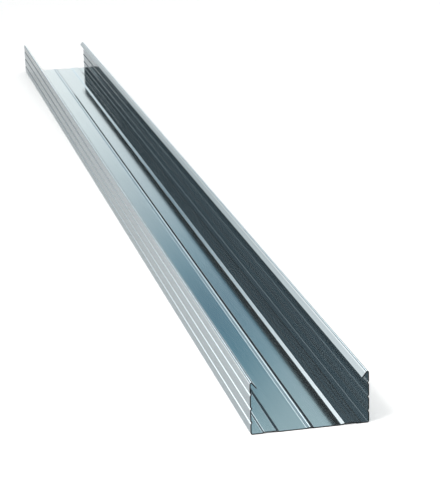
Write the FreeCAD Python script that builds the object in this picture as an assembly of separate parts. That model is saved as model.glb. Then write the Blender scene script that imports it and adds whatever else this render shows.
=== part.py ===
import FreeCAD, Part

import math
import os

# Ceiling furring channel: one length of galvanised steel strip, roll-formed to a C that lies open side up.
# A web carries a rib along its middle and a flute on each side of the rib. Two flanges stand on the web, each with
# grooves pressed in from outside, and each flange ends in a lip that hooks inwards and down.
# Millimetres. X is across the web, Y along the channel, Z up. The origin is the middle of the web's underside.

# Overall sizes, over the outside of the sheet
LENGTH = 1000.0
WEB_WIDTH = 60.0
FLANGE_HEIGHT = 27.0
SHEET = 0.6

# Bend radii, on the inside of each bend
CORNER_RADIUS = 0.5
CREST_RADIUS = 0.3
RIB_RADIUS = 1.2
FLUTE_RADIUS = 0.5
GROOVE_RADIUS = 0.3

# Lip: the flat stretch past the crest's bend, and how steeply it falls away inwards
LIP_FLAT = 3.4
LIP_FALL_DEG = 52.0

# Rib along the middle of the web, raised into the channel
RIB_WIDTH = 3.7
RIB_TOP_WIDTH = 0.4
RIB_HEIGHT = 0.43

# Flutes, one on each side of the rib, raised into the channel, each placed by its middle from the outside of the
# flange beside it. The bank towards the rib is the gentler one.
FLUTE_TO_FLANGE = 9.7
FLUTE_TOP_WIDTH = 5.8
FLUTE_HEIGHT = 0.42
FLUTE_INNER_BANK = 1.75
FLUTE_OUTER_BANK = 0.65

# Grooves along each flange, spread evenly between a margin at the web and one at the crest
GROOVE_COUNT = 3
GROOVE_BOTTOM_MARGIN = 6.3
GROOVE_TOP_MARGIN = 6.1
GROOVE_WIDTH = 1.9
GROOVE_DEPTH = 0.6

# A bend takes at most this share of the shorter of its two runs
BEND_SHARE_OF_RUN = 0.49


def middle_radius(inside_radius):
    """Radius of a bend at the middle of the sheet."""
    return inside_radius + SHEET / 2


def web_corners(floor):
    """Corners of the right half of the web at mid-sheet, from the rib outwards: (x, z, bend radius)."""
    rib_radius = middle_radius(RIB_RADIUS)
    rib_top = floor + RIB_HEIGHT
    flute_radius = middle_radius(FLUTE_RADIUS)
    flute_top = floor + FLUTE_HEIGHT
    flute_middle = WEB_WIDTH / 2 - FLUTE_TO_FLANGE
    flute_inner_edge = flute_middle - FLUTE_TOP_WIDTH / 2
    flute_outer_edge = flute_middle + FLUTE_TOP_WIDTH / 2
    return [
        (RIB_TOP_WIDTH / 2, rib_top, rib_radius),
        (RIB_WIDTH / 2, floor, rib_radius),
        (flute_inner_edge - FLUTE_INNER_BANK, floor, flute_radius),
        (flute_inner_edge, flute_top, flute_radius),
        (flute_outer_edge, flute_top, flute_radius),
        (flute_outer_edge + FLUTE_OUTER_BANK, floor, flute_radius),
    ]


def groove_heights():
    """Heights of the grooves' middles above the web's underside, from the lowest up."""
    span = FLANGE_HEIGHT - GROOVE_BOTTOM_MARGIN - GROOVE_TOP_MARGIN
    pitch = span / max(GROOVE_COUNT - 1, 1)
    return [GROOVE_BOTTOM_MARGIN + number * pitch for number in range(GROOVE_COUNT)]


def flange_corners(wall):
    """Corners of the right flange's grooves at mid-sheet, from the lowest groove up."""
    radius = middle_radius(GROOVE_RADIUS)
    corners = []
    for height in groove_heights():
        corners.append((wall, height - GROOVE_WIDTH / 2, radius))
        corners.append((wall - GROOVE_DEPTH, height, radius))
        corners.append((wall, height + GROOVE_WIDTH / 2, radius))
    return corners


def lip_corners(wall):
    """The right lip's crest at mid-sheet, as the sharp corner that its bend rounds off, and the lip's tip."""
    radius = middle_radius(CREST_RADIUS)
    fall = math.radians(LIP_FALL_DEG)
    turn = math.pi / 2 + fall
    tangent = radius * math.tan(turn / 2)
    bend_middle = FLANGE_HEIGHT - SHEET / 2 - radius
    crest = bend_middle + tangent
    run = LIP_FLAT + tangent
    return [
        (wall, crest, radius),
        (wall - run * math.cos(fall), crest - run * math.sin(fall), 0.0),
    ]


def section_corners():
    """Every corner of the section at mid-sheet, from the left lip's tip round to the right lip's tip."""
    floor = SHEET / 2
    wall = (WEB_WIDTH - SHEET) / 2
    right = web_corners(floor)
    right.append((wall, floor, middle_radius(CORNER_RADIUS)))
    right += flange_corners(wall)
    right += lip_corners(wall)
    left = [(-x, z, radius) for x, z, radius in reversed(right)]
    return left + right


def point(x, z):
    """A point of the section, on the channel's end at minus Y."""
    return FreeCAD.Vector(x, -LENGTH / 2, z)


def side_of_sheet(corners, offset):
    """Edges of one face of the sheet, offset to the left of the mid-sheet path, with every corner rounded."""
    spots = [point(x, z) for x, z, radius in corners]
    runs = [after - before for before, after in zip(spots, spots[1:])]
    headings = [FreeCAD.Vector(run).normalize() for run in runs]
    lefts = [FreeCAD.Vector(-heading.z, 0, heading.x) for heading in headings]
    edges = []
    pen = spots[0] + lefts[0] * offset
    for number in range(1, len(spots) - 1):
        before, after = headings[number - 1], headings[number]
        turn = math.atan2(before.x * after.z - before.z * after.x, before.dot(after))
        half_turn = math.tan(abs(turn) / 2)
        room = BEND_SHARE_OF_RUN * min(runs[number - 1].Length, runs[number].Length)
        radius = min(corners[number][2], room / half_turn)
        tangent = radius * half_turn
        middle = spots[number] - before * tangent + lefts[number - 1] * math.copysign(radius, turn)
        face_radius = radius - math.copysign(1.0, turn) * offset
        starts = middle - lefts[number - 1] * math.copysign(face_radius, turn)
        ends = middle - lefts[number] * math.copysign(face_radius, turn)
        outwards = FreeCAD.Vector(starts + ends - middle * 2).normalize()
        edges.append(Part.LineSegment(pen, starts).toShape())
        edges.append(Part.Arc(starts, middle + outwards * face_radius, ends).toShape())
        pen = ends
    edges.append(Part.LineSegment(pen, spots[-1] + lefts[-1] * offset).toShape())
    return edges


def furring_channel():
    """The whole channel: the strip's section, drawn once and run out to its length."""
    corners = section_corners()
    inside = side_of_sheet(corners, SHEET / 2)
    outside = side_of_sheet(corners, -SHEET / 2)
    left_tip = Part.LineSegment(outside[0].Vertexes[0].Point, inside[0].Vertexes[0].Point).toShape()
    right_tip = Part.LineSegment(inside[-1].Vertexes[-1].Point, outside[-1].Vertexes[-1].Point).toShape()
    outline = Part.Wire(Part.__sortEdges__(inside + [right_tip] + outside + [left_tip]))
    return Part.Face(outline).extrude(FreeCAD.Vector(0, LENGTH, 0))


os.makedirs("parts", exist_ok=True)
furring_channel().exportStep("parts/furring_channel.step")
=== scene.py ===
"""Dresses the ceiling furring channel: a folded galvanised sheet, lit and seen as in its product picture.

The channel is folded in millimetres, as on its drawing, and brought to metres when it is whole. X is across
the web, Y along the channel and Z up, with the origin at the middle of the web's underside.
"""
import logging
import math
from dataclasses import dataclass, field
from enum import Enum, IntEnum
from typing import Callable, Optional, Sequence, Union

import bmesh
import bpy
from mathutils import Matrix, Vector


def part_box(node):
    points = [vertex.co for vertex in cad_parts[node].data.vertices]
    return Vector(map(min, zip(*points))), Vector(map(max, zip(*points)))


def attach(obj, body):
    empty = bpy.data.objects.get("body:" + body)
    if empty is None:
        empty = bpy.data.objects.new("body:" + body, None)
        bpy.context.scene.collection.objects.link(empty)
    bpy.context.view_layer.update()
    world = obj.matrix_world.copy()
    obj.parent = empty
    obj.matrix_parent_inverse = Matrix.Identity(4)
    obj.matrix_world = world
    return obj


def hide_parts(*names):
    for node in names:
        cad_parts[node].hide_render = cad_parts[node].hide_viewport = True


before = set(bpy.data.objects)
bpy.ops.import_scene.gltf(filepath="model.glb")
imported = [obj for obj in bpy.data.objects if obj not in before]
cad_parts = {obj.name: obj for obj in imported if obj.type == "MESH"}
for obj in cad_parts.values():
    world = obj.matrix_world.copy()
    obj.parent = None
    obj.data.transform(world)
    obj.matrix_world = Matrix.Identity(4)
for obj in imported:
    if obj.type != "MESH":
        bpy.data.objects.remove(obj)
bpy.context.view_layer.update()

CHANNEL_NODE = "furring_channel"
BODY = "root"
MILLIMETRE = 0.001
HALF_TURN_DEGREES = 180.0

log = logging.getLogger("furring_channel")

Ends = tuple[float, float]
Triple = tuple[float, float, float]
Colour = Triple
Socket = bpy.types.NodeSocket
Value = Union[Socket, float, tuple[float, ...]]


class SheetFace(IntEnum):
    """The channel's material slots: zinc on the strip's faces, and the steel that shearing lays bare,
    painted near black as shade.
    """

    ZINC = 0
    CUT = 1


class Slope(Enum):
    """How a number goes from one end of a range to the other."""

    STRAIGHT = "LINEAR"
    SOFT = "SMOOTHSTEP"


@dataclass(frozen=True)
class Stop:
    """One stop of a colour ramp."""

    at: float
    colour: Colour


@dataclass
class NodeBoard:
    """A node tree, with short calls that add and wire its nodes."""

    tree: bpy.types.NodeTree

    def add(self, kind: str, **settings: object) -> bpy.types.Node:
        """Add a node.

        Args:
            kind: The node's type name.
            **settings: Properties of the node.

        Returns:
            The new node.
        """
        node = self.tree.nodes.new(kind)
        for name, value in settings.items():
            setattr(node, name, value)
        return node

    def feed(self, socket: Socket, value: Value) -> None:
        """Wire a socket to another one, or set it to a plain value.

        Args:
            socket: The input to feed.
            value: A node's output, a number or a tuple.
        """
        if isinstance(value, Socket):
            self.tree.links.new(value, socket)
        else:
            socket.default_value = value

    def sum_up(self, operation: str, *values: Value, clamp: bool = False) -> Socket:
        """Work out a number from others.

        Args:
            operation: The name of the sum, as a Math node knows it.
            *values: Its one, two or three numbers or sockets.
            clamp: Whether the result is kept between 0 and 1.

        Returns:
            The result's socket.
        """
        node = self.add("ShaderNodeMath", operation=operation, use_clamp=clamp)
        for socket, value in zip(node.inputs, values):
            self.feed(socket, value)
        return node.outputs["Value"]

    def sum_up_vectors(self, operation: str, first: Value, second: Value) -> Socket:
        """Work out a vector from two others.

        Args:
            operation: The name of the sum, as a Vector Math node knows it.
            first: The first vector.
            second: The second vector.

        Returns:
            The result's socket.
        """
        node = self.add("ShaderNodeVectorMath", operation=operation)
        self.feed(node.inputs[0], first)
        self.feed(node.inputs[1], second)
        return node.outputs["Vector"]

    def span(
        self,
        value: Value,
        source: Ends,
        target: Ends = (0.0, 1.0),
        slope: Slope = Slope.STRAIGHT,
    ) -> Socket:
        """Carry a number from one range to another, and keep it there.

        Args:
            value: The number.
            source: The two ends of its own range.
            target: What those ends become.
            slope: How it goes from one end to the other.

        Returns:
            The carried number's socket.
        """
        node = self.add("ShaderNodeMapRange", interpolation_type=slope.value)
        self.feed(node.inputs["Value"], value)
        for name, end in zip(("From Min", "From Max", "To Min", "To Max"), (*source, *target)):
            node.inputs[name].default_value = end
        return node.outputs["Result"]

    def ramp(self, value: Value, stops: Sequence[Stop]) -> Socket:
        """Turn a number into a colour.

        Args:
            value: The number, from 0 to 1.
            stops: The ramp's stops, in rising order.

        Returns:
            The colour's socket.
        """
        node = self.add("ShaderNodeValToRGB")
        elements = node.color_ramp.elements
        for element, stop in zip(elements, (stops[0], stops[-1])):
            element.position = stop.at
            element.color = (*stop.colour, 1.0)
        for stop in stops[1:-1]:
            elements.new(stop.at).color = (*stop.colour, 1.0)
        self.feed(node.inputs["Fac"], value)
        return node.outputs["Color"]

    def mix(self, share: Value, first: Value, second: Value) -> Socket:
        """Mix two colours.

        Args:
            share: The second colour's share, from 0 to 1.
            first: The colour at 0.
            second: The colour at 1.

        Returns:
            The mixed colour's socket.
        """
        node = self.add("ShaderNodeMix", data_type="RGBA", blend_type="MIX")
        self.feed(node.inputs["Factor"], share)
        for name, colour in (("A", first), ("B", second)):
            socket = next(entry for entry in node.inputs if entry.name == name and entry.type == "RGBA")
            self.feed(socket, (*colour, 1.0) if isinstance(colour, tuple) else colour)
        return next(result for result in node.outputs if result.type == "RGBA")

    def noise(self, place: Socket, scale: float, detail: float) -> Socket:
        """Smooth noise from 0 to 1.

        Args:
            place: The coordinates that it is read at.
            scale: How many features there are in a unit.
            detail: How many finer layers it has.

        Returns:
            The noise's socket.
        """
        node = self.add("ShaderNodeTexNoise")
        self.feed(node.inputs["Vector"], place)
        node.inputs["Scale"].default_value = scale
        node.inputs["Detail"].default_value = detail
        return node.outputs["Fac"]

    def bump(self, height: Socket, distance: float, over: Optional[Socket] = None) -> Socket:
        """Raise a surface by a mask.

        Args:
            height: The mask.
            distance: How high a mask of 1 stands, in metres.
            over: The normal of the relief that this one lies over, if there is one.

        Returns:
            The raised surface's normal.
        """
        node = self.add("ShaderNodeBump")
        node.inputs["Distance"].default_value = distance
        self.feed(node.inputs["Height"], height)
        if over is not None:
            self.feed(node.inputs["Normal"], over)
        return node.outputs["Normal"]


def start_material(name: str) -> tuple[bpy.types.Material, NodeBoard, bpy.types.Node]:
    """Start a material.

    Args:
        name: Its name.

    Returns:
        The material, the board of its nodes, and its shader.
    """
    made = bpy.data.materials.new(name)
    made.use_nodes = True
    return made, NodeBoard(made.node_tree), made.node_tree.nodes["Principled BSDF"]


@dataclass(frozen=True)
class RollingGrain:
    """Fine lines that the rolls leave along the strip, as a node group that its finishes share."""

    name: str = "rolling_grain"
    fine_detail: float = 3.0
    coarse_scale: float = 0.17
    coarse_detail: float = 1.0
    coarse_share: float = 0.4

    def lines(self, board: NodeBoard, place: Socket, across: float, along: float) -> Socket:
        """Place the group in a material.

        Args:
            board: The board of the material's nodes.
            place: The coordinates.
            across: How many lines there are in a metre across the strip.
            along: How many there are in a metre along it.

        Returns:
            A mask of lines, from 0 to 1.
        """
        node = board.add("ShaderNodeGroup", node_tree=self._group())
        board.feed(node.inputs["Place"], place)
        board.feed(node.inputs["Lines across"], across)
        board.feed(node.inputs["Lines along"], along)
        return node.outputs["Lines"]

    def _group(self) -> bpy.types.NodeTree:
        """Make the node group, on the first call.

        Returns:
            A group that turns a place and the two line scales into a mask of lines.
        """
        made = bpy.data.node_groups.get(self.name)
        if made:
            return made
        tree = bpy.data.node_groups.new(self.name, "ShaderNodeTree")
        tree.interface.new_socket("Place", in_out="INPUT", socket_type="NodeSocketVector")
        tree.interface.new_socket("Lines across", in_out="INPUT", socket_type="NodeSocketFloat")
        tree.interface.new_socket("Lines along", in_out="INPUT", socket_type="NodeSocketFloat")
        tree.interface.new_socket("Lines", in_out="OUTPUT", socket_type="NodeSocketFloat")
        board = NodeBoard(tree)
        entry = board.add("NodeGroupInput")
        leave = board.add("NodeGroupOutput")
        scales = board.add("ShaderNodeCombineXYZ")
        board.feed(scales.inputs["X"], entry.outputs["Lines across"])
        board.feed(scales.inputs["Y"], entry.outputs["Lines along"])
        board.feed(scales.inputs["Z"], entry.outputs["Lines across"])
        stretched = board.sum_up_vectors("MULTIPLY", entry.outputs["Place"], scales.outputs["Vector"])
        fine = board.noise(stretched, scale=1.0, detail=self.fine_detail)
        coarse = board.noise(stretched, scale=self.coarse_scale, detail=self.coarse_detail)
        fine_part = board.sum_up("MULTIPLY", fine, 1.0 - self.coarse_share)
        lines = board.sum_up("MULTIPLY_ADD", coarse, self.coarse_share, fine_part)
        board.feed(leave.inputs["Lines"], lines)
        return tree


@dataclass(frozen=True)
class GalvanisedZinc:
    """Skin-passed zinc: cool grey metal, a little matt, with rolling lines, faint clouds and spangle.

    The sheet is slightly wavy, and its crests are lighter: polished, and with a painted highlight. Lengths
    are in metres.
    """

    name: str = "galvanised_zinc"
    pale: Colour = (0.60, 0.642, 0.653)
    deep: Colour = (0.50, 0.546, 0.563)
    # Lighter zinc over the crests: polish, and a painted highlight
    crest_polish_and_highlight: Colour = (0.85, 0.88, 0.89)
    crest_polish_and_highlight_heights: Ends = (0.0258, 0.0266)
    grazing_tint: Colour = (0.49, 0.515, 0.53)
    metal_share: float = 0.96
    roughness: Ends = (0.0825, 0.1075)
    line_share: float = 0.45
    cloud_share: float = 0.45
    spangle_share: float = 0.10
    lines_across: float = 1100.0
    lines_along: float = 4.0
    line_contrast: Ends = (0.25, 0.75)
    line_height: float = 0.000003
    clouds_per_metre: float = 16.0
    cloud_detail: float = 3.0
    spangle_per_metre: float = 170.0
    wander_per_metre: float = 90.0
    wander_detail: float = 2.0
    wander_reach: float = 0.004
    waves_across: float = 30.0
    waves_along: float = 5.0
    wave_detail: float = 1.0
    wave_height: float = 0.00001

    def material(self, grain: RollingGrain) -> bpy.types.Material:
        """Build the material.

        Args:
            grain: The rolling lines.

        Returns:
            The zinc.
        """
        made, board, shader = start_material(self.name)
        place = board.add("ShaderNodeTexCoord").outputs["Object"]
        lines = grain.lines(board, place, self.lines_across, self.lines_along)
        board.feed(shader.inputs["Base Color"], self._colour(board, place, lines))
        board.feed(shader.inputs["Roughness"], board.span(lines, self.line_contrast, self.roughness))
        board.feed(shader.inputs["Normal"], self._relief(board, place, lines))
        shader.inputs["Metallic"].default_value = self.metal_share
        shader.inputs["Specular Tint"].default_value = (*self.grazing_tint, 1.0)
        return made

    def _colour(self, board: NodeBoard, place: Socket, lines: Socket) -> Socket:
        """Mix the colour from the lines, clouds and spangle, with the crests' polish and painted highlight
        on top.

        Args:
            board: The board of the material's nodes.
            place: The coordinates.
            lines: The mask of rolling lines.

        Returns:
            The colour's socket.
        """
        clouds = board.noise(place, self.clouds_per_metre, self.cloud_detail)
        tone = board.sum_up("MULTIPLY", lines, self.line_share)
        tone = board.sum_up("MULTIPLY_ADD", clouds, self.cloud_share, tone)
        tone = board.sum_up("MULTIPLY_ADD", self._spangle(board, place), self.spangle_share, tone)
        axes = board.add("ShaderNodeSeparateXYZ")
        board.feed(axes.inputs["Vector"], place)
        # Painted highlight with polish: the zinc turns lighter towards the crests' height
        crest = board.span(axes.outputs["Z"], self.crest_polish_and_highlight_heights, slope=Slope.SOFT)
        return board.mix(crest, board.mix(tone, self.deep, self.pale), self.crest_polish_and_highlight)

    def _spangle(self, board: NodeBoard, place: Socket) -> Socket:
        """Grow the crystals, with wandering outlines and a tone for each.

        Args:
            board: The board of the material's nodes.
            place: The coordinates.

        Returns:
            The crystals' tones, from 0 to 1.
        """
        wander = board.noise(place, self.wander_per_metre, self.wander_detail)
        reach = (self.wander_reach, self.wander_reach, self.wander_reach)
        offset = board.sum_up_vectors("MULTIPLY", wander, reach)
        cells = board.add("ShaderNodeTexVoronoi", feature="F1")
        board.feed(cells.inputs["Vector"], board.sum_up_vectors("ADD", place, offset))
        cells.inputs["Scale"].default_value = self.spangle_per_metre
        tones = board.add("ShaderNodeSeparateColor")
        board.feed(tones.inputs["Color"], cells.outputs["Color"])
        return tones.outputs["Red"]

    def _relief(self, board: NodeBoard, place: Socket, lines: Socket) -> Socket:
        """Raise the sheet's slow waves, and the rolling lines over them.

        Args:
            board: The board of the material's nodes.
            place: The coordinates.
            lines: The mask of rolling lines.

        Returns:
            The normal's socket.
        """
        waves_per_metre = (self.waves_across, self.waves_along, self.waves_across)
        swell = board.sum_up_vectors("MULTIPLY", place, waves_per_metre)
        waves = board.noise(swell, scale=1.0, detail=self.wave_detail)
        waved = board.bump(waves, self.wave_height)
        return board.bump(lines, self.line_height, over=waved)


@dataclass(frozen=True)
class ShadedShearedSteel:
    """Bare steel of a sheared edge, painted near black as shade, rougher than the zinc, with the shear's
    own short lines.
    """

    name: str = "shaded_sheared_steel"
    # Near black, far darker than bare steel: painted shade on the sheared edges
    bright: Colour = (0.030, 0.032, 0.034)
    dark: Colour = (0.008, 0.009, 0.010)
    roughness: Ends = (0.42, 0.62)
    lines_per_metre: float = 5200.0
    line_contrast: Ends = (0.2, 0.8)
    line_height: float = 0.00002

    def material(self, grain: RollingGrain) -> bpy.types.Material:
        """Build the material.

        Args:
            grain: The lines, here as short as they are wide.

        Returns:
            The bare steel, painted near black as shade.
        """
        made, board, shader = start_material(self.name)
        place = board.add("ShaderNodeTexCoord").outputs["Object"]
        lines = grain.lines(board, place, self.lines_per_metre, self.lines_per_metre)
        board.feed(shader.inputs["Base Color"], board.mix(lines, self.dark, self.bright))
        board.feed(shader.inputs["Roughness"], board.span(lines, self.line_contrast, self.roughness))
        board.feed(shader.inputs["Normal"], board.bump(lines, self.line_height))
        shader.inputs["Metallic"].default_value = 1.0
        return made


@dataclass(frozen=True)
class StudioPaper:
    """The floor's matt paper, whiter where it is seen or mirrored than where it gives light."""

    name: str = "studio_paper"
    colour: Colour = (0.90, 0.90, 0.90)
    seen_colour: Colour = (1.285, 1.262, 1.245)

    def material(self) -> bpy.types.Material:
        """Build the material.

        Returns:
            The paper.
        """
        made, board, shader = start_material(self.name)
        ray = board.add("ShaderNodeLightPath").outputs
        seen = board.sum_up("MAXIMUM", ray["Is Camera Ray"], ray["Is Glossy Ray"])
        seen = board.sum_up("MAXIMUM", seen, ray["Is Transmission Ray"])
        board.feed(shader.inputs["Base Color"], board.mix(seen, self.colour, self.seen_colour))
        shader.inputs["Roughness"].default_value = 1.0
        shader.inputs["Specular IOR Level"].default_value = 0.0
        return made


@dataclass(frozen=True)
class Corner:
    """A corner of the section at mid-sheet, and the radius there of the bend that rounds it."""

    x: float
    z: float
    radius: float


@dataclass(frozen=True)
class Fold:
    """A bend as the rolls make it: where it starts and ends, its axis, and how far it turns to the left."""

    start: Vector
    end: Vector
    axis: Vector
    turn: float

    @classmethod
    def at(cls, before: Corner, here: Corner, after: Corner) -> "Fold":
        """Round a corner.

        Args:
            before: The corner that the sheet comes from.
            here: The corner itself.
            after: The corner that the sheet goes to.

        Returns:
            The bend, tangent to both runs.
        """
        spot = Vector((here.x, 0.0, here.z))
        arriving = (spot - Vector((before.x, 0.0, before.z))).normalized()
        leaving = (Vector((after.x, 0.0, after.z)) - spot).normalized()
        turn = math.atan2(arriving.x * leaving.z - arriving.z * leaving.x, arriving.dot(leaving))
        tangent = here.radius * math.tan(abs(turn) / 2)
        start = spot - arriving * tangent
        to_left = Vector((-arriving.z, 0.0, arriving.x))
        axis = start + to_left * math.copysign(here.radius, turn)
        return cls(start=start, end=spot + leaving * tangent, axis=axis, turn=turn)


@dataclass(frozen=True)
class ChannelSection:
    """The channel's section in millimetres, with the radii on the inside of each bend.

    The overall sizes come from the frame, and the rest from the drawing.
    """

    web_width: float
    flange_height: float
    sheet: float = 0.6
    corner_radius: float = 0.5
    crest_radius: float = 0.3
    lip_flat: float = 3.4
    lip_fall_degrees: float = 52.0
    rib_width: float = 3.7
    rib_top_width: float = 0.4
    rib_height: float = 0.43
    rib_radius: float = 1.2
    flute_to_flange: float = 9.7
    flute_top_width: float = 5.8
    flute_height: float = 0.42
    flute_inner_bank: float = 1.75
    flute_outer_bank: float = 0.65
    flute_radius: float = 0.5
    groove_count: int = 3
    groove_bottom_margin: float = 6.3
    groove_top_margin: float = 6.1
    groove_width: float = 1.9
    groove_depth: float = 0.6
    groove_radius: float = 0.3

    def right_half(self) -> list[Corner]:
        """The right half of the section.

        Returns:
            Every corner from the middle of the rib's top to the crest, and the lip's tip. The first and the
            last have no bend.
        """
        wall = (self.web_width - self.sheet) / 2
        crest_radius = self._middle_radius(self.crest_radius)
        fall = math.radians(self.lip_fall_degrees)
        tangent = crest_radius * math.tan((math.pi / 2 + fall) / 2)
        crest = self.flange_height - self.sheet / 2 - crest_radius + tangent
        run = self.lip_flat + tangent
        corners = [Corner(0.0, self.sheet / 2 + self.rib_height, 0.0)]
        corners += self._web_corners()
        corners.append(Corner(wall, self.sheet / 2, self._middle_radius(self.corner_radius)))
        corners += self._groove_corners(wall)
        corners.append(Corner(wall, crest, crest_radius))
        corners.append(Corner(wall - run * math.cos(fall), crest - run * math.sin(fall), 0.0))
        return corners

    def _middle_radius(self, inside_radius: float) -> float:
        """Radius of a bend at the middle of the sheet."""
        return inside_radius + self.sheet / 2

    def _web_corners(self) -> list[Corner]:
        """The corners of the web's right half.

        Returns:
            The rib's top and foot and the flute's four corners, from the middle outwards.
        """
        floor = self.sheet / 2
        rib = self._middle_radius(self.rib_radius)
        flute = self._middle_radius(self.flute_radius)
        middle = self.web_width / 2 - self.flute_to_flange
        inner = middle - self.flute_top_width / 2
        outer = middle + self.flute_top_width / 2
        return [
            Corner(self.rib_top_width / 2, floor + self.rib_height, rib),
            Corner(self.rib_width / 2, floor, rib),
            Corner(inner - self.flute_inner_bank, floor, flute),
            Corner(inner, floor + self.flute_height, flute),
            Corner(outer, floor + self.flute_height, flute),
            Corner(outer + self.flute_outer_bank, floor, flute),
        ]

    def _groove_corners(self, wall: float) -> list[Corner]:
        """The corners of the right flange's grooves.

        Args:
            wall: Where the flange's mid-sheet stands.

        Returns:
            Three corners for each groove, from the lowest up.
        """
        radius = self._middle_radius(self.groove_radius)
        reach = self.flange_height - self.groove_bottom_margin - self.groove_top_margin
        pitch = reach / max(self.groove_count - 1, 1)
        corners = []
        for number in range(self.groove_count):
            height = self.groove_bottom_margin + number * pitch
            corners.append(Corner(wall, height - self.groove_width / 2, radius))
            corners.append(Corner(wall - self.groove_depth, height, radius))
            corners.append(Corner(wall, height + self.groove_width / 2, radius))
        return corners


@dataclass
class FurringChannel:
    """The channel: half a strip, rolled through its bends, mirrored, cut into facets and thickened.

    Lengths are in millimetres. Points of the two halves that lie within merge_within become one.
    """

    section: ChannelSection
    length: float
    name: str = "folded_channel"
    degrees_per_facet: float = 6.0
    length_cuts: int = 39
    merge_within: float = 0.001
    edge_ease: float = 0.05
    edge_ease_facets: int = 2
    cut_edge_degrees: float = 60.0
    smooth_below_degrees: float = 35.0
    piece: bpy.types.Object = field(init=False)

    def build(self) -> bpy.types.Object:
        """Model the channel.

        Returns:
            The finished piece, in metres.
        """
        corners = self.section.right_half()
        folds = [Fold.at(*three) for three in zip(corners, corners[1:], corners[2:])]
        tip = Vector((corners[-1].x, 0.0, corners[-1].z))
        self._lay_strip(folds[0])
        self._roll(folds, tip)
        self._mirror()
        self._divide_length()
        self._thicken()
        self._ease_cut_edges()
        self._finish_mesh()
        return self.piece

    def dress(self, zinc: bpy.types.Material, cut: bpy.types.Material) -> None:
        """Give the piece its finishes, and its place in the frame.

        Args:
            zinc: The finish of the strip's faces.
            cut: The finish of its sheared edges, painted near black as shade.
        """
        self.piece.data.materials[SheetFace.ZINC] = zinc
        self.piece.data.materials[SheetFace.CUT] = cut
        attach(self.piece, BODY)
        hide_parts(CHANNEL_NODE)

    def _lay_strip(self, rib_fold: Fold) -> None:
        """Lay a flat strip from the middle of the rib's top to the first bend, and pick its outer edge.

        Args:
            rib_fold: The first bend.
        """
        bpy.ops.object.select_all(action="DESELECT")
        bpy.ops.mesh.primitive_plane_add(size=1.0)
        self.piece = bpy.context.active_object
        self.piece.name = self.name
        self.piece.data.name = self.name
        for _ in SheetFace:
            self.piece.data.materials.append(None)
        outer = rib_fold.start
        bpy.ops.object.mode_set(mode="EDIT")
        bpy.ops.mesh.select_mode(type="EDGE")
        bpy.ops.mesh.select_all(action="SELECT")
        bpy.ops.transform.resize(value=(outer.x, self.length, 1.0))
        bpy.ops.transform.translate(value=(outer.x / 2, 0.0, outer.z))
        self._pick_edges(lambda edge: all(vertex.co.x > outer.x / 2 for vertex in edge.verts))

    def _roll(self, folds: list[Fold], tip: Vector) -> None:
        """Roll the picked edge through the bends, with a straight run after each, and out to the lip's tip.

        Args:
            folds: The bends, from the rib outwards.
            tip: Where the lip ends.
        """
        run_ends = [fold.start for fold in folds[1:]] + [tip]
        for fold, run_end in zip(folds, run_ends):
            facets = math.ceil(math.degrees(abs(fold.turn)) / self.degrees_per_facet)
            bpy.ops.mesh.spin(steps=facets, angle=fold.turn, center=fold.axis, axis=(0.0, 1.0, 0.0))
            bpy.ops.mesh.extrude_region_move(TRANSFORM_OT_translate={"value": run_end - fold.end})
        bpy.ops.object.mode_set(mode="OBJECT")

    def _mirror(self) -> None:
        """Mirror the half section, join it at the rib's top and turn all faces the same way."""
        self._apply("MIRROR", use_axis=(True, False, False), merge_threshold=self.merge_within)
        bpy.ops.object.mode_set(mode="EDIT")
        bpy.ops.mesh.select_all(action="SELECT")
        bpy.ops.mesh.normals_make_consistent(inside=False)
        bpy.ops.object.mode_set(mode="OBJECT")

    def _divide_length(self) -> None:
        """Cut the long facets into shorter ones."""
        half = self.length / 2
        bpy.ops.object.mode_set(mode="EDIT")
        self._pick_edges(lambda edge: edge.calc_length() > half)
        bpy.ops.mesh.subdivide(number_cuts=self.length_cuts)
        bpy.ops.object.mode_set(mode="OBJECT")

    def _thicken(self) -> None:
        """Give the sheet its thickness, half of it to each side."""
        self._apply(
            "SOLIDIFY",
            thickness=self.section.sheet,
            offset=0.0,
            use_even_offset=True,
            use_rim=True,
            material_offset_rim=int(SheetFace.CUT),
        )

    def _ease_cut_edges(self) -> None:
        """Take the sharpness off the sheared edges."""
        self._apply(
            "BEVEL",
            width=self.edge_ease,
            segments=self.edge_ease_facets,
            limit_method="ANGLE",
            angle_limit=math.radians(self.cut_edge_degrees),
            use_clamp_overlap=False,
        )

    def _finish_mesh(self) -> None:
        """Bring the piece to metres and shade its bends smooth and its flats flat."""
        self.piece.scale = (MILLIMETRE, MILLIMETRE, MILLIMETRE)
        bpy.ops.object.transform_apply(location=False, rotation=False, scale=True)
        bpy.ops.object.shade_smooth_by_angle(angle=math.radians(self.smooth_below_degrees))
        self._apply("WEIGHTED_NORMAL", mode="FACE_AREA", keep_sharp=True)

    def _pick_edges(self, wanted: Callable[[bmesh.types.BMEdge], bool]) -> None:
        """Select the edges that pass a test, and nothing else.

        Args:
            wanted: The test.
        """
        bpy.ops.mesh.select_all(action="DESELECT")
        mesh = bmesh.from_edit_mesh(self.piece.data)
        for edge in mesh.edges:
            if wanted(edge):
                edge.select_set(True)
        bmesh.update_edit_mesh(self.piece.data)

    def _apply(self, kind: str, **settings: object) -> None:
        """Add a modifier and apply it.

        Args:
            kind: The modifier's type name.
            **settings: Its settings.
        """
        modifier = self.piece.modifiers.new(kind.lower(), kind)
        for name, value in settings.items():
            setattr(modifier, name, value)
        bpy.ops.object.modifier_apply(modifier=modifier.name)


@dataclass(frozen=True)
class Panel:
    """A panel of light or shade past the channel's ends, from a rim far out to a tip near its long axis.

    It fills a sector about that axis, in degrees from the horizon on the left over the top to the right.
    """

    start: float
    stop: float
    rim: Colour
    middle: Colour
    tip: Colour


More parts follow.
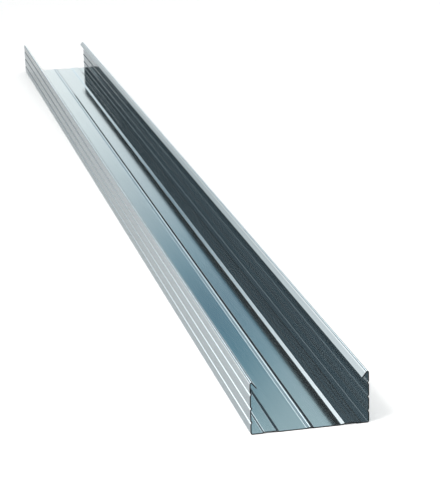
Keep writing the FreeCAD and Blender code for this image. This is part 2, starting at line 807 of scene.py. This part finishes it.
@dataclass(frozen=True)
class StudioSky:
    """A plain soft studio: pale all round, with panels past the channel's two ends and a wash over some.

    A bank of the section mirrors one panel along its whole length: its rim at the near end, its tip at the
    far one. Half a turn about the vertical leaves the sky as it is. A reach is the sine of the angle that a
    direction makes with the channel's long axis, and panel_fade is in cosines of that angle.
    """

    name: str = "studio_sky"
    panel_fade: Ends = (0.72, 0.86)
    tip_reach: float = 0.21
    middle_reach: float = 0.30
    rim_reach: float = 0.43
    wash_start: float = 113.2
    wash_start_edge: float = 4.0
    wash_stop: float = 126.5
    wash_stop_edge: float = 10.0
    # Over each panel, what mirrors it most in the picture
    panels: tuple[Panel, ...] = (
        # Grooves outside the left flange
        Panel(0.0, 7.5, rim=(2.80, 2.86, 2.90), middle=(1.30, 1.34, 1.36), tip=(0.20, 0.22, 0.23)),
        # Shade between those grooves and the lip
        Panel(10.5, 13.5, rim=(0.14, 0.18, 0.20), middle=(0.12, 0.16, 0.18), tip=(0.12, 0.14, 0.15)),
        # Right lip
        Panel(16.5, 24.5, rim=(1.36, 1.41, 1.43), middle=(1.04, 1.10, 1.12), tip=(1.52, 1.53, 1.52)),
        # Dark line on the rib
        Panel(26.5, 34.0, rim=(0.04, 0.06, 0.075), middle=(0.03, 0.05, 0.06), tip=(0.90, 0.96, 0.98)),
        # Inside of the right flange
        Panel(38.0, 62.5, rim=(0.22, 0.31, 0.36), middle=(0.23, 0.32, 0.37), tip=(0.15, 0.18, 0.19)),
        # Crests, and the grooves inside the right flange
        Panel(71.0, 85.5, rim=(0.72, 0.79, 0.82), middle=(0.82, 0.90, 0.93), tip=(1.30, 1.36, 1.38)),
        # Pale line on the rib
        Panel(88.5, 94.2, rim=(0.40, 0.57, 0.65), middle=(0.50, 0.66, 0.74), tip=(1.30, 1.36, 1.38)),
        # Bright line on the right flute
        Panel(95.8, 101.5, rim=(1.86, 1.90, 1.92), middle=(0.23, 0.40, 0.51), tip=(2.25, 2.38, 2.42)),
        # Soft edges of both lines
        Panel(103.5, 109.5, rim=(3.30, 3.52, 3.60), middle=(3.30, 3.58, 3.68), tip=(3.80, 3.96, 4.00)),
        # Web, through the soft edge of the wash
        Panel(126.0, 136.0, rim=(1.30, 1.48, 1.56), middle=(2.50, 2.62, 2.68), tip=(1.90, 1.96, 1.98)),
        # Dark line on the left flute
        Panel(141.0, 180.0, rim=(0.04, 0.07, 0.09), middle=(0.05, 0.08, 0.10), tip=(1.50, 1.56, 1.58)),
    )
    # Web, from its far end to its near one
    wash: tuple[Stop, ...] = (
        Stop(0.21, (2.30, 2.28, 2.20)),
        Stop(0.25, (1.82, 1.90, 1.88)),
        Stop(0.285, (1.16, 1.28, 1.31)),
        Stop(0.333, (0.33, 0.58, 0.69)),
        Stop(0.362, (0.14, 0.32, 0.44)),
        Stop(0.395, (0.15, 0.39, 0.51)),
        Stop(0.43, (0.59, 0.80, 0.85)),
    )
    # Rest of the sky, from the horizon to the top
    plain: tuple[Stop, ...] = (
        Stop(0.00, (1.06, 1.07, 1.07)),
        Stop(0.12, (1.02, 1.03, 1.04)),
        Stop(0.34, (0.57, 0.58, 0.59)),
        Stop(0.60, (0.66, 0.67, 0.68)),
        Stop(1.00, (0.83, 0.84, 0.84)),
    )

    def build(self) -> None:
        """Make the world and give it to the scene."""
        world = bpy.data.worlds.new(self.name)
        world.use_nodes = True
        board = NodeBoard(world.node_tree)
        backdrop = world.node_tree.nodes["Background"]
        direction = board.add("ShaderNodeSeparateXYZ")
        board.feed(direction.inputs["Vector"], board.add("ShaderNodeTexCoord").outputs["Generated"])
        across, along, height = direction.outputs

        side = board.sum_up("MULTIPLY", across, board.sum_up("SIGN", along))
        turn = board.sum_up("ARCTAN2", height, board.sum_up("MULTIPLY", side, -1.0))
        sector = board.sum_up("DIVIDE", turn, math.pi)
        reach = board.sum_up("SQRT", board.sum_up("SUBTRACT", 1.0, board.sum_up("MULTIPLY", along, along)))

        ends = self._wash_over(board, self._panel_light(board, sector, reach), sector, reach)
        beyond_end = board.span(board.sum_up("ABSOLUTE", along), self.panel_fade, slope=Slope.SOFT)
        plain = board.ramp(height, self.plain)
        board.feed(backdrop.inputs["Color"], board.mix(beyond_end, plain, ends))
        backdrop.inputs["Strength"].default_value = 1.0
        bpy.context.scene.world = world

    def _panel_light(self, board: NodeBoard, sector: Socket, reach: Socket) -> Socket:
        """Light the panels, from their tips over their middles to their rims.

        Args:
            board: The board of the world's nodes.
            sector: The share of the half turn about the channel's long axis.
            reach: How far out from that axis a direction leads.

        Returns:
            The panels' light.
        """
        tip = board.ramp(sector, self._around([panel.tip for panel in self.panels]))
        middle = board.ramp(sector, self._around([panel.middle for panel in self.panels]))
        rim = board.ramp(sector, self._around([panel.rim for panel in self.panels]))
        inner = board.mix(board.span(reach, (self.tip_reach, self.middle_reach)), tip, middle)
        return board.mix(board.span(reach, (self.middle_reach, self.rim_reach)), inner, rim)

    def _wash_over(self, board: NodeBoard, panels: Socket, sector: Socket, reach: Socket) -> Socket:
        """Lay the wash over the panels.

        Args:
            board: The board of the world's nodes.
            panels: The panels' light.
            sector: The share of the half turn about the channel's long axis.
            reach: How far out from that axis a direction leads.

        Returns:
            The light of the panels and the wash.
        """
        started = board.span(sector, self._edge(self.wash_start, self.wash_start_edge), slope=Slope.SOFT)
        stopped = board.span(sector, self._edge(self.wash_stop, self.wash_stop_edge), slope=Slope.SOFT)
        share = board.sum_up("SUBTRACT", started, stopped, clamp=True)
        return board.mix(share, panels, board.ramp(reach, self.wash))

    def _around(self, colours: list[Colour]) -> list[Stop]:
        """Spread colours over the panels.

        Args:
            colours: One colour for each panel.

        Returns:
            Two stops for each panel, by the share of the half turn.
        """
        stops = []
        for panel, colour in zip(self.panels, colours):
            stops.append(Stop(panel.start / HALF_TURN_DEGREES, colour))
            stops.append(Stop(panel.stop / HALF_TURN_DEGREES, colour))
        return stops

    def _edge(self, middle: float, width: float) -> Ends:
        """The two ends of a soft edge of the wash, as shares of the half turn."""
        return (middle - width / 2) / HALF_TURN_DEGREES, (middle + width / 2) / HALF_TURN_DEGREES


@dataclass(frozen=True)
class Studio:
    """The pale floor, the soft key light from the left, and the sky. Lengths are in metres."""

    floor_size: float = 60.0
    floor_gap: float = 0.00002
    key_place: Triple = (-1.35, -0.97, 1.83)
    key_aim: Triple = (0.0, -0.45, 0.0)
    key_size: float = 0.9
    key_spread_degrees: float = 60.0
    key_watts: float = 3.2

    def build(self) -> None:
        """Lay the floor, hang the key light and make the sky."""
        self._lay_floor()
        self._hang_key()
        StudioSky().build()

    def _lay_floor(self) -> None:
        """Lay a wide floor just under the channel."""
        bpy.ops.object.select_all(action="DESELECT")
        bpy.ops.mesh.primitive_plane_add(size=self.floor_size, location=(0.0, 0.0, -self.floor_gap))
        floor = bpy.context.active_object
        floor.name = "studio_floor"
        floor.data.materials.append(StudioPaper().material())

    def _hang_key(self) -> None:
        """Hang a broad soft box to the left of the near end, for a faint shadow on the right."""
        lamp = bpy.data.lights.new("key_light", "AREA")
        lamp.shape = "SQUARE"
        lamp.size = self.key_size
        lamp.spread = math.radians(self.key_spread_degrees)
        lamp.energy = self.key_watts
        key = bpy.data.objects.new("key_light", lamp)
        key.visible_glossy = False
        key.location = self.key_place
        away = Vector(self.key_place) - Vector(self.key_aim)
        key.rotation_mode = "QUATERNION"
        key.rotation_quaternion = away.to_track_quat("Z", "Y")
        bpy.context.scene.collection.objects.link(key)


@dataclass(frozen=True)
class PictureCamera:
    """The camera, where the channel's two ends in the picture put it.

    Its place is in metres, its angles are in radians, and its lens and sensor are in millimetres.
    """

    position: Triple = (-0.207454, -1.297240, 0.332935)
    yaw: float = 0.203981
    pitch: float = -0.284290
    roll: float = -0.028435
    lens: float = 130.36
    sensor: float = 36.0

    def build(self) -> None:
        """Make the camera and give it to the scene."""
        data = bpy.data.cameras.new("picture_camera")
        data.lens = self.lens
        data.sensor_width = self.sensor
        camera = bpy.data.objects.new("picture_camera", data)
        ahead = Vector(
            (
                math.sin(self.yaw) * math.cos(self.pitch),
                math.cos(self.yaw) * math.cos(self.pitch),
                math.sin(self.pitch),
            )
        )
        level = ahead.cross(Vector((0.0, 0.0, 1.0))).normalized()
        upright = level.cross(ahead)
        right = level * math.cos(self.roll) + upright * math.sin(self.roll)
        up = upright * math.cos(self.roll) - level * math.sin(self.roll)
        turned = Matrix((right, up, -ahead)).transposed().to_4x4()
        camera.matrix_world = Matrix.Translation(self.position) @ turned
        bpy.context.scene.collection.objects.link(camera)
        bpy.context.scene.camera = camera


def main() -> None:
    """Build the channel, its finishes, the studio and the camera, in that order."""
    logging.basicConfig(level=logging.INFO, format="%(name)s: %(message)s")
    bpy.context.scene.view_settings.view_transform = "Standard"
    low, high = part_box(CHANNEL_NODE)
    width, length, height = ((top - bottom) / MILLIMETRE for bottom, top in zip(low, high))
    section = ChannelSection(web_width=width, flange_height=height)
    channel = FurringChannel(section=section, length=length)
    channel.build()
    grain = RollingGrain()
    channel.dress(GalvanisedZinc().material(grain), ShadedShearedSteel().material(grain))
    log.info("%s has %d faces", channel.piece.name, len(channel.piece.data.polygons))
    Studio().build()
    PictureCamera().build()


if __name__ == "__main__":
    main()
